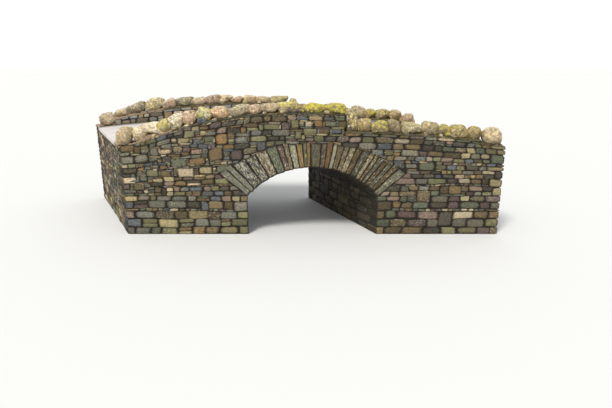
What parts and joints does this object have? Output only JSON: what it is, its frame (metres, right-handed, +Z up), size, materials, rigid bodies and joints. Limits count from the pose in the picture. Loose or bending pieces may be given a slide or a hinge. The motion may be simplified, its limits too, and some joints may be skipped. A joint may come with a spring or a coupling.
{
  "type": "stone packhorse bridge",
  "caption": "Small humped stone bridge with one segmental slate arch on a skew, rubble walls and parapets capped with boulders.",
  "frame": {"origin": "centre of the bridge's outline at the lowest level of its walls, midway along and across", "axes": "+X runs along the road, +Y across the bridge from the pictured face to the other, +Z up"},
  "size_m": [11.8078, 3.46, 3.5157],
  "materials": {
    "slate_rubble": "rough",
    "arch_slate": "rough",
    "coping_boulder": "rough",
    "lime_mortar": "matte",
    "rubble_fill": "rough",
    "road_tarmac": "matte"
  },
  "bodies": {
    "root": {"abutment_left": "slate_rubble", "abutment_right": "slate_rubble", "spandrel_front_left": "slate_rubble", "spandrel_front_right": "slate_rubble", "spandrel_back_left": "slate_rubble", "spandrel_back_right": "slate_rubble", "wing_front_left": "slate_rubble", "wing_front_right": "slate_rubble", "wing_back_left": "slate_rubble", "wing_back_right": "slate_rubble", "parapet_front_left": "slate_rubble", "parapet_front_crown": "slate_rubble", "parapet_front_right": "slate_rubble", "parapet_back_left": "slate_rubble", "parapet_back_crown": "slate_rubble", "parapet_back_right": "slate_rubble", "arch_ring_front": "arch_slate", "arch_ring_back": "arch_slate", "arch_barrel": "arch_slate", "skewback_left": "arch_slate", "skewback_right": "arch_slate", "coping_front_left": "coping_boulder", "coping_front_crown": "coping_boulder", "coping_front_right": "coping_boulder", "coping_back_left": "coping_boulder", "coping_back_crown": "coping_boulder", "coping_back_right": "coping_boulder", "step_stone_front": "coping_boulder", "step_stone_back": "coping_boulder", "end_boulder_front_left": "coping_boulder", "end_boulder_front_right": "coping_boulder", "end_boulder_back_left": "coping_boulder", "end_boulder_back_right": "coping_boulder", "coping_bed_front_left": "lime_mortar", "coping_bed_front_crown": "lime_mortar", "coping_bed_front_right": "lime_mortar", "coping_bed_back_left": "lime_mortar", "coping_bed_back_crown": "lime_mortar", "coping_bed_back_right": "lime_mortar", "arch_fill_left": "rubble_fill", "arch_fill_right": "rubble_fill", "approach_fill_left": "rubble_fill", "approach_fill_right": "rubble_fill", "road_surface": "road_tarmac"}
  },
  "joints": []
}
